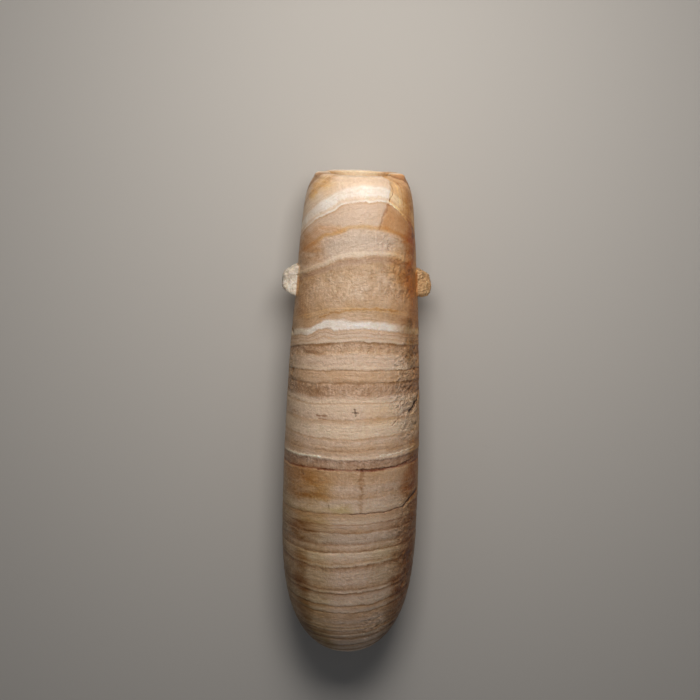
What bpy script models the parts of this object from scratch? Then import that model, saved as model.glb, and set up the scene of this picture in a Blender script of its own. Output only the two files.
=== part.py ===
"""An alabastron: a slender oil flask with two lug handles, carved from one block of banded calcite.

Metres, +Z up. Its round base can't stand, so the flask lies on its back: its axis runs along Y, the mouth
looks towards +Y and the face between the lugs looks up. The origin is on the surface that the flask rests on,
below the middle of its length.

The flask is modelled upright, with its axis on local Z, its base tip at the local origin and its face towards
local -Y, and the object is then laid down by its own rotation and location.
"""
from math import cos, pi, radians, sin

import bmesh
import bpy
from mathutils import Matrix, Vector

MM = 0.001

# The outer form. Heights are measured along the axis from the tip of the base.
LENGTH = 200 * MM
BELLY_RADIUS = 28.05 * MM
BASE_HEIGHT = 61.5 * MM          # the base rounds out up to this height
BASE_FULLNESS = 3.0              # higher fills out the base below its full width
TIP_BLUNTNESS = 0.463            # 0.5 rounds the tip like a ball, and lower flattens it
TAPER_START = 76 * MM            # above here the body draws in slowly
TAPER_AT_LIP = 7.2 * MM
TAPER_POWER = 1.76
SHOULDER_START = 161 * MM        # above here it also curls in to the lip
SHOULDER_AT_LIP = 4.1 * MM
SHOULDER_POWER = 7.4

# The bored hollow, which follows the body and narrows to the mouth.
CAVITY_FLOOR = 17 * MM
CAVITY_RADIUS = 18 * MM
CAVITY_WIDEST = 70 * MM
CAVITY_ROUNDNESS = 2.2
MOUTH_RADIUS = 12 * MM
MOUTH_NARROWING_POWER = 1.5
LIP_ROUNDING = 1.3 * MM          # worn edge round the outside of the mouth
MOUTH_ROUNDING = 0.8 * MM        # worn edge round the inside of the mouth

# How finely the turned form is divided.
SIDES = 64
BASE_RINGS = 12
BODY_RINGS = 12
SHOULDER_RINGS = 8
CAVITY_BASE_RINGS = 7
CAVITY_RINGS = 9
ROUNDING_STEPS = 3

# The flat spot ground on the back, on which the flask rests.
FLAT_DEPTH = 0.6 * MM

# The lugs. An outline runs up one lug: (share of its reach, share of its length) from its lower root.
LUG_REACH = 5.8 * MM             # how far each stands out from the body
LUG_ROOT_DEPTH = 2.5 * MM        # how far each is sunk into the wall before they are joined
LUG_ROOT_THICKNESS = 10.5 * MM
LUG_TIP_THICKNESS = 6.5 * MM
LUG_BEVEL = 0.7 * MM
LEFT_LUG = dict(
    side=-1, bottom=150.2 * MM, length=13.0 * MM, turn=radians(7),
    outline=((0.0, 0.0), (0.2, 0.0), (0.7, 0.1), (0.94, 0.2), (1.0, 0.36), (0.9, 0.68), (0.72, 0.8), (0.45, 0.9),
             (0.0, 1.0)),
)
RIGHT_LUG = dict(
    side=1, bottom=150.4 * MM, length=12.2 * MM, turn=radians(0),
    outline=((0.0, 0.06), (0.3, 0.0), (0.72, 0.07), (0.9, 0.17), (1.0, 0.42), (0.9, 0.62), (0.79, 0.78), (0.6, 0.86),
             (0.0, 1.0)),
)

# The damage: a flake lost from the rim, and two slivers lost from the right side.
# "around" is the angle from the middle of the face towards the right lug.
RIM_FLAKE = dict(height=198.6 * MM, around=radians(64), span=radians(58), slope=radians(7))
FLAKE_SLAB = 10 * MM             # thickness of the slab that takes the flake away
SLIVERS = (
    dict(height=109.4 * MM, around=radians(64), length=10.5 * MM, depth=0.9 * MM, lean=radians(28)),
    dict(height=70.3 * MM, around=radians(63), length=11.5 * MM, depth=0.9 * MM, lean=radians(20)),
)
SLIVER_WIDTH = 2.4 * MM

SHARP_ANGLE = radians(38)


def outer_radius(height):
    """Radius of the body's surface at a height above the tip of the base."""
    radius = BELLY_RADIUS
    if height < BASE_HEIGHT:
        below = (BASE_HEIGHT - height) / BASE_HEIGHT
        return BELLY_RADIUS * max(0.0, 1 - below ** BASE_FULLNESS) ** TIP_BLUNTNESS
    if height > TAPER_START:
        rise = (height - TAPER_START) / (LENGTH - TAPER_START)
        radius -= TAPER_AT_LIP * rise ** TAPER_POWER
    if height > SHOULDER_START:
        rise = (height - SHOULDER_START) / (LENGTH - SHOULDER_START)
        radius -= SHOULDER_AT_LIP * rise ** SHOULDER_POWER
    return radius


def cavity_radius(height):
    """Radius of the bored hollow at a height above the tip of the base."""
    if height < CAVITY_WIDEST:
        below = (CAVITY_WIDEST - height) / (CAVITY_WIDEST - CAVITY_FLOOR)
        return CAVITY_RADIUS * max(0.0, 1 - below ** CAVITY_ROUNDNESS) ** (1 / CAVITY_ROUNDNESS)
    rise = (height - CAVITY_WIDEST) / (LENGTH - CAVITY_WIDEST)
    return CAVITY_RADIUS - (CAVITY_RADIUS - MOUTH_RADIUS) * rise ** MOUTH_NARROWING_POWER


def round_end_heights(floor, top, rings):
    """Heights that divide a round end evenly round its curve, from its tip to its full width."""
    return [top - (top - floor) * cos(pi / 2 * ring / rings) for ring in range(rings)]


def even_heights(bottom, top, rings):
    return [bottom + (top - bottom) * ring / rings for ring in range(rings)]


def closing_heights(bottom, top, rings):
    """Heights from the bottom to just below the top, ever closer together."""
    return [bottom + (top - bottom) * sin(pi / 2 * ring / rings) for ring in range(rings)]


def flask_profile():
    """The outline of the wall in the XZ plane: up the outside, over the lip and down the inside."""
    lip_start = LENGTH - LIP_ROUNDING
    mouth_start = LENGTH - MOUTH_ROUNDING
    lip_radius = outer_radius(lip_start)
    mouth_radius = cavity_radius(mouth_start)

    outside = round_end_heights(0, BASE_HEIGHT, BASE_RINGS)
    outside += even_heights(BASE_HEIGHT, SHOULDER_START, BODY_RINGS)
    outside += closing_heights(SHOULDER_START, lip_start, SHOULDER_RINGS)
    profile = [(outer_radius(height), height) for height in outside]
    for step in range(ROUNDING_STEPS + 1):
        turn = pi / 2 * step / ROUNDING_STEPS
        radius = lip_radius - LIP_ROUNDING * (1 - cos(turn))
        profile.append((radius, lip_start + LIP_ROUNDING * sin(turn)))
    for step in range(ROUNDING_STEPS + 1):
        turn = pi / 2 * step / ROUNDING_STEPS
        radius = mouth_radius + MOUTH_ROUNDING * (1 - sin(turn))
        profile.append((radius, mouth_start + MOUTH_ROUNDING * cos(turn)))

    inside = round_end_heights(CAVITY_FLOOR, CAVITY_WIDEST, CAVITY_BASE_RINGS)
    inside += even_heights(CAVITY_WIDEST, mouth_start, CAVITY_RINGS)
    profile += [(cavity_radius(height), height) for height in reversed(inside)]
    return profile


def new_object(name, mesh_data):
    mesh = bpy.data.meshes.new(name)
    mesh_data.to_mesh(mesh)
    mesh_data.free()
    part = bpy.data.objects.new(name, mesh)
    bpy.context.scene.collection.objects.link(part)
    return part


def turned_flask():
    """The flask as turned: the profile spun round the axis, with the flat spot ground on its back."""
    flask = bmesh.new()
    points = [flask.verts.new((radius, 0, height)) for radius, height in flask_profile()]
    edges = [flask.edges.new(pair) for pair in zip(points, points[1:])]
    bmesh.ops.spin(
        flask, geom=points + edges, cent=(0, 0, 0), axis=(0, 0, 1), angle=2 * pi, steps=SIDES, use_merge=True
    )
    bmesh.ops.remove_doubles(flask, verts=flask.verts, dist=0.01 * MM)
    cut = bmesh.ops.bisect_plane(
        flask, geom=flask.verts[:] + flask.edges[:] + flask.faces[:], dist=0.001 * MM,
        plane_co=(0, BELLY_RADIUS - FLAT_DEPTH, 0), plane_no=(0, 1, 0), clear_outer=True,
    )
    rim = [item for item in cut["geom_cut"] if isinstance(item, bmesh.types.BMEdge)]
    bmesh.ops.contextual_create(flask, geom=rim)
    bmesh.ops.recalc_face_normals(flask, faces=flask.faces)
    return new_object("alabastron", flask)


def lug(side, bottom, length, turn, outline):
    """One unpierced lug: its outline given a thickness that lessens from the root to the tip."""
    root_radius = outer_radius(bottom + length / 2)
    sunk = [(-LUG_ROOT_DEPTH, 0.0)]
    sunk += [(reach * LUG_REACH, along * length) for reach, along in outline]
    sunk += [(-LUG_ROOT_DEPTH, length)]
    mesh = bmesh.new()
    rows = []
    for face_side in (-1, 1):
        row = []
        for reach, along in sunk:
            share = min(1.0, max(0.0, reach / LUG_REACH))
            half = (LUG_ROOT_THICKNESS + (LUG_TIP_THICKNESS - LUG_ROOT_THICKNESS) * share) / 2
            row.append(mesh.verts.new((side * (root_radius + reach), face_side * half, bottom + along)))
        rows.append(row)
    for row in rows:
        mesh.faces.new(row)
    count = len(sunk)
    for here in range(count):
        there = (here + 1) % count
        mesh.faces.new((rows[0][here], rows[0][there], rows[1][there], rows[1][here]))
    bmesh.ops.recalc_face_normals(mesh, faces=mesh.faces)
    outer_edges = [edge for edge in mesh.edges if all(abs(v.co.x) > root_radius for v in edge.verts)]
    bmesh.ops.bevel(mesh, geom=outer_edges, offset=LUG_BEVEL, segments=2, profile=0.5, affect="EDGES")
    bmesh.ops.rotate(mesh, verts=mesh.verts, matrix=Matrix.Rotation(-side * turn, 3, "Z"))
    return new_object("lug", mesh)


def surface_point(height, around):
    """A point on the body's surface, where damage is centred."""
    radius = outer_radius(height)
    return Vector((radius * sin(around), -radius * cos(around), height))


def rim_flake_cutter(height, around, span, slope):
    """A slab that shaves the rim where the flake is lost, deepest at the outside of the lip."""
    width = 2 * outer_radius(height) * sin(span / 2)
    reach = outer_radius(height) - MOUTH_RADIUS
    mesh = bmesh.new()
    bmesh.ops.create_cube(mesh, size=1)
    bmesh.ops.scale(mesh, verts=mesh.verts, vec=(2 * reach, width, FLAKE_SLAB))
    bmesh.ops.translate(mesh, verts=mesh.verts, vec=(0, 0, FLAKE_SLAB / 2))
    bmesh.ops.rotate(mesh, verts=mesh.verts, matrix=Matrix.Rotation(slope, 3, "Y"))
    bmesh.ops.rotate(mesh, verts=mesh.verts, matrix=Matrix.Rotation(around - pi / 2, 3, "Z"))
    bmesh.ops.translate(mesh, verts=mesh.verts, vec=surface_point(height, around))
    return new_object("rim_flake", mesh)


def sliver_cutter(height, around, length, depth, lean):
    """A lens that cuts one long shallow sliver from the surface, leaning up towards the back."""
    mesh = bmesh.new()
    bmesh.ops.create_icosphere(mesh, subdivisions=2, radius=1)
    bmesh.ops.scale(mesh, verts=mesh.verts, vec=(length / 2, depth, SLIVER_WIDTH / 2))
    bmesh.ops.rotate(mesh, verts=mesh.verts, matrix=Matrix.Rotation(-lean, 3, "Y"))
    bmesh.ops.rotate(mesh, verts=mesh.verts, matrix=Matrix.Rotation(around, 3, "Z"))
    bmesh.ops.translate(mesh, verts=mesh.verts, vec=surface_point(height, around))
    return new_object("sliver", mesh)


def combine(flask, tool, operation):
    """Join a solid to the flask, or cut it away. The tool lies down with the flask, as its child."""
    tool.parent = flask
    tool.hide_render = True
    tool.display_type = "WIRE"
    modifier = flask.modifiers.new(operation.title() + " " + tool.name, "BOOLEAN")
    modifier.object = tool
    modifier.operation = operation
    modifier.solver = "EXACT"


def banded_calcite():
    stone = bpy.data.materials.new("banded calcite")
    stone.use_nodes = True
    shader = stone.node_tree.nodes["Principled BSDF"]
    shader.inputs["Base Color"].default_value = (0.42, 0.27, 0.16, 1)
    shader.inputs["Roughness"].default_value = 0.55
    shader.inputs["Metallic"].default_value = 0.0
    return stone


def alabastron():
    flask = turned_flask()
    for lug_sizes in (LEFT_LUG, RIGHT_LUG):
        combine(flask, lug(**lug_sizes), "UNION")
    combine(flask, rim_flake_cutter(**RIM_FLAKE), "DIFFERENCE")
    for sliver_sizes in SLIVERS:
        combine(flask, sliver_cutter(**sliver_sizes), "DIFFERENCE")
    flask.data.materials.append(banded_calcite())
    flask.data.shade_smooth()
    flask.data.set_sharp_from_angle(angle=SHARP_ANGLE)
    flask.rotation_euler = (-pi / 2, 0, 0)
    flask.location = (0, -LENGTH / 2, BELLY_RADIUS - FLAT_DEPTH)
    return flask


for old_object in list(bpy.data.objects):
    bpy.data.objects.remove(old_object, do_unlink=True)
alabastron()
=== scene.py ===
"""The looks of an alabastron: a slender oil flask with two lugs, carved from one block of banded calcite.

The flask lies on its back on a pale floor. It is turned, lugged and weathered here as a fine mesh, and its
stone is one material whose layers run right through the block, over the lip and down the bored hollow.

Both the weathering and the material work in flask space: millimetres, with the origin at the tip of the base,
Y up the flask's axis to the mouth, X towards the right lug and Z out of the face that lies uppermost. What
has a place of its own on the surface is placed by (around, height): degrees from the middle of that face
towards the right lug, and mm above the tip of the base.
"""
from math import cos, hypot, pi, radians, sin

import bpy
from mathutils import Matrix, Vector


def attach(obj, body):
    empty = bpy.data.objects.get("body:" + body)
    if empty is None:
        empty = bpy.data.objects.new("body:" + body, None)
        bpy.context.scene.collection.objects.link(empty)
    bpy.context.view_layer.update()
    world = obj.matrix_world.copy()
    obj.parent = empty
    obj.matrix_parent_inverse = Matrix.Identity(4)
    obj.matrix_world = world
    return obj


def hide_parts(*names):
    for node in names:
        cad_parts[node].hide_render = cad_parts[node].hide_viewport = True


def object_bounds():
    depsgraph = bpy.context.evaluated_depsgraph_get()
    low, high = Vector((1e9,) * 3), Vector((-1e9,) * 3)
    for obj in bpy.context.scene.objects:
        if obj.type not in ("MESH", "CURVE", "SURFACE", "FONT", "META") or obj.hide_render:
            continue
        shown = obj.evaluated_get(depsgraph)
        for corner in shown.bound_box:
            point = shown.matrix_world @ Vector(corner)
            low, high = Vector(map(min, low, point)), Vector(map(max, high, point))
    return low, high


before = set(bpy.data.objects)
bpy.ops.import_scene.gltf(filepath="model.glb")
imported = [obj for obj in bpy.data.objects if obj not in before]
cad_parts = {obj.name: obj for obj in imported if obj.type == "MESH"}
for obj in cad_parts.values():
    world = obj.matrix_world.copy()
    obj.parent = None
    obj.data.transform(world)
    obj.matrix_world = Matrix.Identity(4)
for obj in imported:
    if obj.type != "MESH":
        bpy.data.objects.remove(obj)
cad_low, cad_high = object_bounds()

MM = 0.001
NODE = "alabastron"
BODY = "root"

# The turned form, in metres. Heights run along the axis from the tip of the base.
LENGTH = cad_high[1] - cad_low[1]
BELLY_RADIUS = 28.05 * MM
BASE_HEIGHT = 61.5 * MM
BASE_FULLNESS = 3.0
TIP_BLUNTNESS = 0.463
TAPER_START = 76 * MM
TAPER_AT_LIP = 7.2 * MM
TAPER_POWER = 1.76
SHOULDER_START = 161 * MM
SHOULDER_AT_LIP = 4.1 * MM
SHOULDER_POWER = 9.0
CAVITY_FLOOR = 17 * MM
CAVITY_RADIUS = 18 * MM
CAVITY_WIDEST = 70 * MM
CAVITY_ROUNDNESS = 2.2
MOUTH_RADIUS = 12 * MM
MOUTH_NARROWING_POWER = 1.5
LIP_ROUNDING = 1.9 * MM
MOUTH_ROUNDING = 0.8 * MM
AXIS_HEIGHT = cad_high[2] - BELLY_RADIUS      # of the flask's axis above the floor
BASE_TIP = Vector((0, cad_low[1], AXIS_HEIGHT))

# The lugs. An outline runs up one lug: (share of its reach, share of its length) from its lower root.
LUG_REACH = 6.2 * MM
LUG_ROOT_DEPTH = 2.5 * MM
LUG_ROOT_THICKNESS = 10.5 * MM
LUG_TIP_THICKNESS = 6.5 * MM
LUG_EDGE = 1.3 * MM             # how far its edges are rounded
LUG_SPAN = (147 * MM, 166 * MM)     # the heights between which both lugs are
LEFT_LUG = dict(
    side=-1, bottom=150.2 * MM, length=13.0 * MM, turn=radians(7),
    outline=((0.0, 0.0), (0.2, 0.0), (0.7, 0.1), (0.94, 0.2), (1.0, 0.36), (0.9, 0.68), (0.72, 0.8),
             (0.45, 0.9), (0.0, 1.0)),
)
RIGHT_LUG = dict(
    side=1, bottom=150.4 * MM, length=12.2 * MM, turn=radians(0),
    outline=((0.0, 0.06), (0.3, 0.0), (0.72, 0.07), (0.9, 0.17), (1.0, 0.42), (0.9, 0.62), (0.79, 0.78),
             (0.6, 0.86), (0.0, 1.0)),
)

# The mesh: how finely it is divided.
SIDES = 180
OUTSIDE_STEP = 0.5 * MM
INSIDE_STEP = 3.2 * MM
LUG_GRAIN = 0.5 * MM
SLIVER = 0.2 * MM               # points nearer than this along a join are merged

# The stone's colours.
WHITE = "#fcf2e8"       # purest calcite
CREAM = "#ecd3b9"
PALE = "#dfc3ab"        # cream with a little pink
TAN = "#d3ae8b"
HONEY = "#d8ae7c"       # clear yellow-brown, where iron has coloured the calcite
CLAY = "#bd9778"        # greyish brown
MAUVE = "#b8957e"       # brown with a little violet
BUFF = "#c9a27a"        # between tan and honey
UMBER = "#a87e55"
RUST = "#96582e"
ASH = "#d3bba6"         # greyish cream
SOOT = "#4a3423"        # dirt in cracks

# The layers, from below the base to past the mouth:
# (height on the face in mm, colour, how fibrous it looks from 0 to 1, how deep it has worn in mm).
STRATA = (
    (-16, TAN, 0.2, 0.0), (-9, PALE, 0.2, 0.1), (-5, CREAM, 0.0, 0.0), (-3.6, UMBER, 0.0, 0.25),
    (-2.4, TAN, 0.1, 0.1), (-0.8, CREAM, 0.0, -0.05), (1.2, TAN, 0.1, 0.1), (2.2, CLAY, 0.0, 0.3),
    (3.0, CREAM, 0.0, -0.05), (6.5, PALE, 0.0, 0.0), (7.6, UMBER, 0.0, 0.25), (8.6, TAN, 0.0, 0.1),
    (10.2, CREAM, 0.0, -0.05), (11, UMBER, 0.1, 0.22), (11.8, TAN, 0.1, 0.05), (12.8, CLAY, 0.0, 0.25),
    (13.3, CREAM, 0.1, -0.05), (14.6, TAN, 0.1, 0.15), (15.4, PALE, 0.1, 0.0), (17, TAN, 0.1, 0.15),
    (18.2, PALE, 0.1, 0.02), (20.5, TAN, 0.1, 0.05), (22.6, TAN, 0.0, 0.1), (23.0, UMBER, 0.0, 0.35),
    (23.6, CREAM, 0.0, -0.05), (24.4, PALE, 0.0, 0.0), (26.0, TAN, 0.1, 0.1), (26.6, UMBER, 0.0, 0.35),
    (27.3, CREAM, 0.1, 0.0), (31, PALE, 0.1, 0.1), (32.3, CLAY, 0.0, 0.25), (32.8, UMBER, 0.0, 0.35),
    (33.2, CREAM, 0.0, -0.1), (33.8, PALE, 0.0, 0.1), (34.5, UMBER, 0.1, 0.2), (35.4, TAN, 0.1, 0.15),
    (37.5, PALE, 0.2, 0.05), (42, PALE, 0.5, 0.05), (43.8, CLAY, 0.6, 0.2), (44.3, UMBER, 0.4, 0.25),
    (45.1, CREAM, 0.3, 0.0), (46, TAN, 0.1, 0.1), (48, CREAM, 0.0, 0.0), (50, CREAM, 0.0, 0.0),
    (50.5, UMBER, 0.0, 0.35), (51.1, TAN, 0.1, 0.1), (53.0, PALE, 0.3, 0.05), (53.5, CLAY, 0.4, 0.2),
    (55, ASH, 0.4, 0.05), (57.9, ASH, 0.3, 0.05), (58.4, UMBER, 0.1, 0.3), (59, TAN, 0.0, 0.1),
    (61.2, PALE, 0.0, 0.0), (61.8, CLAY, 0.0, 0.15), (62.3, CREAM, 0.0, 0.0), (65.8, TAN, 0.0, 0.05),
    (66.3, CLAY, 0.0, 0.25), (66.9, CREAM, 0.0, 0.0), (72, PALE, 0.4, 0.0), (73, TAN, 0.4, 0.1),
    (77, PALE, 0.4, 0.0), (79, TAN, 0.4, 0.0), (82, BUFF, 0.3, 0.05), (83.7, BUFF, 0.2, 0.1),
    (84.0, RUST, 0.0, 0.45), (84.3, RUST, 0.0, 0.45), (84.9, CLAY, 0.6, 0.25), (88.2, MAUVE, 1.0, 0.2),
    (88.6, PALE, 0.1, -0.1), (89.2, CREAM, 0.1, -0.1), (89.9, PALE, 0.1, 0.05), (91.9, TAN, 0.1, 0.05),
    (92.3, CLAY, 0.1, 0.2), (92.9, TAN, 0.1, 0.05), (96, PALE, 0.1, 0.0), (97.3, TAN, 0.0, 0.05),
    (97.9, CREAM, 0.0, 0.0), (102, CREAM, 0.1, 0.0), (104.6, TAN, 0.0, 0.05), (105.2, PALE, 0.1, 0.0),
    (110.6, CREAM, 0.0, 0.0), (111.2, TAN, 0.0, 0.1), (111.8, CREAM, 0.1, 0.0), (113.2, PALE, 0.3, 0.05),
    (114.6, CLAY, 0.9, 0.15), (118.8, CLAY, 1.0, 0.15), (119.3, UMBER, 0.5, 0.35), (119.8, UMBER, 0.2, 0.3),
    (120.3, TAN, 0.2, 0.05), (124.2, TAN, 0.2, 0.05), (124.8, UMBER, 0.1, 0.3), (125.3, CREAM, 0.0, -0.05),
    (127, PALE, 0.1, 0.0), (130.4, PALE, 0.2, 0.0), (131.6, TAN, 0.8, 0.12), (134.6, CLAY, 1.0, 0.15),
    (135.0, UMBER, 0.5, 0.3), (135.5, UMBER, 0.2, 0.2), (135.9, CREAM, 0.0, -0.05), (136.8, PALE, 0.0, 0.0),
    (137.2, TAN, 0.0, 0.08), (137.7, PALE, 0.0, 0.0), (138.6, PALE, 0.0, 0.05), (138.9, CLAY, 0.0, 0.1),
    (139.3, PALE, 0.0, 0.0), (139.9, TAN, 0.0, 0.15), (140.4, PALE, 0.0, 0.1), (140.9, WHITE, 0.0, 0.0),
    (142.7, WHITE, 0.0, 0.0), (143.9, TAN, 0.1, 0.05), (147.4, BUFF, 0.1, 0.05), (147.9, HONEY, 0.0, 0.1),
    (148.3, BUFF, 0.1, 0.05), (148.8, HONEY, 0.1, 0.1), (149.6, BUFF, 0.3, 0.1), (154, TAN, 0.7, 0.1),
    (160, TAN, 0.7, 0.1), (165.8, BUFF, 0.6, 0.15), (167.0, CLAY, 0.2, 0.2), (168.3, CLAY, 0.2, 0.2),
    (169.2, TAN, 0.1, 0.2), (170.0, CREAM, 0.0, -0.1), (171.2, CREAM, 0.0, -0.05), (171.9, PALE, 0.3, 0.0),
    (176, ASH, 0.4, 0.05), (179.6, PALE, 0.3, 0.0), (180.6, HONEY, 0.0, 0.05), (181.2, HONEY, 0.0, 0.05),
    (182.2, PALE, 0.0, 0.0), (188.6, PALE, 0.0, 0.0), (189.7, TAN, 0.0, 0.1), (190.3, WHITE, 0.0, -0.05),
    (191.2, CREAM, 0.0, 0.0), (192.6, WHITE, 0.0, 0.0), (195.6, WHITE, 0.0, 0.0), (197, CREAM, 0.0, 0.0),
    (202, CREAM, 0.0, 0.05), (205, TAN, 0.2, 0.1), (207, CREAM, 0.0, 0.0), (211, PALE, 0.1, 0.0),
    (212, UMBER, 0.2, 0.15), (218, TAN, 0.6, 0.05), (220, CREAM, 0.0, 0.0), (224, WHITE, 0.0, 0.0),
    (226, HONEY, 0.1, 0.1), (231, TAN, 0.3, 0.0), (234, CREAM, 0.0, 0.0), (240, WHITE, 0.0, 0.0),
)
RAMP_STOPS = 20         # layers in one colour ramp, which holds up to 32
WORN_RANGE = 0.5        # mm, the most that a layer has worn or stands proud

# Where the layers bulge up: (around, height, half its width in degrees, half its height, how far up in mm).
BULGES = (
    (-30, 139.5, 9, 4, 1.3), (-20, 145.0, 14, 4, 1.6), (-48, 139, 9, 5, -1.0), (-22, 178, 12, 4, -1.0),
    (30, 189, 14, 8, 1.2), (-32, 186, 12, 6, -0.9), (36, 166, 30, 9, 1.0), (-44, 166, 26, 9, -1.3),
)

# Broad changes of tone, partly the stone's own and partly painted shade: darker and browner towards the sides
# and round the base, where the light falls off. (around, height, half its width in degrees, half its height,
# what colour it makes a pale layer, strength).
TONES_AND_PAINTED_SHADE = (
    (0, 42, 400, 46, "#c9ae98", 1.0), (-95, 60, 52, 95, "#bd9c78", 1.0), (97, 60, 52, 95, "#bb8a54", 1.0),
    (-88, 26, 44, 40, "#a48252", 1.0), (88, 26, 44, 42, "#a67c4c", 0.95), (-34, 30, 22, 48, "#ccae86", 1.0),
    (-94, 150, 52, 44, "#bd9668", 0.75), (94, 155, 52, 46, "#c4842c", 1.0),
    (-4, 160, 36, 30, "#d5bfac", 1.0),
)

# Patches where something has stained the stone, with the same numbers. The dark patches low on the base's
# sides, at (-42, 9), (-75, 6) and (75, 7), are painted shade, where the light falls off round the base.
STAINS_AND_BASE_SHADE = (
    (-50, 196, 20, 4, "#daae74", 0.95), (-60, 192, 11, 3, "#dcac64", 0.7),
    (-20, 179.5, 8, 2, "#dcaa66", 0.4), (-60, 171, 30, 7.5, "#cb9b6e", 1.0),
    (-38, 179.5, 16, 3, "#d4a478", 0.8), (-62, 150, 14, 8, "#c89a6a", 0.6),
    (58, 186, 13, 8, "#cc9a58", 0.7), (64, 173, 13, 10, "#c0802c", 1.0), (40, 184, 16, 5, "#d2a274", 0.3),
    (66, 157, 12, 8, "#cc964c", 0.8), (68, 161, 17, 13, "#d8a468", 0.6), (42, 166, 15, 9, "#dab286", 0.8),
    (68, 188, 12, 7, "#bc8a40", 0.9), (72, 178, 5, 3, "#7a4a1c", 0.9), (-70, 197, 16, 5, "#d0a880", 0.7),
    (64, 147, 8, 5, "#c08c50", 0.6), (58, 141, 8, 2.6, "#9a8848", 0.8), (54, 141, 13, 5, "#b98e64", 0.9),
    (60, 131, 10, 8, "#a88452", 0.9), (46, 163, 12, 9, "#d6ac7c", 0.7), (-46, 131, 18, 0.9, "#9c7856", 0.8),
    (-42, 115.8, 20, 2.6, "#b6946c", 0.7), (-50, 77.5, 30, 8, "#ca9c6a", 0.9),
    (-30, 77, 17, 6, "#d8b07a", 0.8), (-36, 72.4, 26, 1.6, "#c39a5c", 0.7),
    (-8, 68.5, 12, 2.5, "#d0b47c", 0.7), (-34, 64, 20, 6, "#cca674", 0.8), (-45, 57, 18, 6, "#a8763e", 1.0),
    (-44, 45, 11, 4.5, "#b08048", 0.9), (-45, 35, 13, 6, "#a87640", 1.0), (-46, 22, 13, 8, "#b08650", 0.9),
    (-42, 9, 30, 8, "#b08c5c", 0.9), (-75, 6, 36, 12, "#a2804a", 0.95), (-72, 66, 20, 10, "#c8a878", 0.7),
    (34, 46, 17, 11, "#ceb290", 0.8), (60, 77, 15, 7, "#b87c40", 0.9), (72, 66, 16, 12, "#b68244", 0.85),
    (75, 77, 22, 16, "#d0a670", 0.8), (60, 40, 20, 24, "#b68656", 0.85), (63, 49, 12, 6, "#b08050", 0.7),
    (52, 34, 11, 5, "#b07a48", 0.8), (48, 24, 9, 8, "#b08c68", 0.5), (74, 88, 17, 10, "#c49658", 0.8),
    (40, 62, 14, 6, "#c69c7a", 0.5), (75, 7, 32, 10, "#93724a", 1.0), (8, 193, 4, 1.4, "#cfc3ac", 0.6),
    (-5, 157, 14, 6, "#ead4c0", 0.7), (25, 106, 18, 5, "#e6c39c", 0.5), (150, 120, 34, 32, "#b3907a", 0.5),
    (-140, 62, 30, 26, "#a8865e", 0.5), (175, 30, 34, 24, "#b08c6c", 0.5),
    (-125, 158, 26, 22, "#c79456", 0.5),
)

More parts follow.
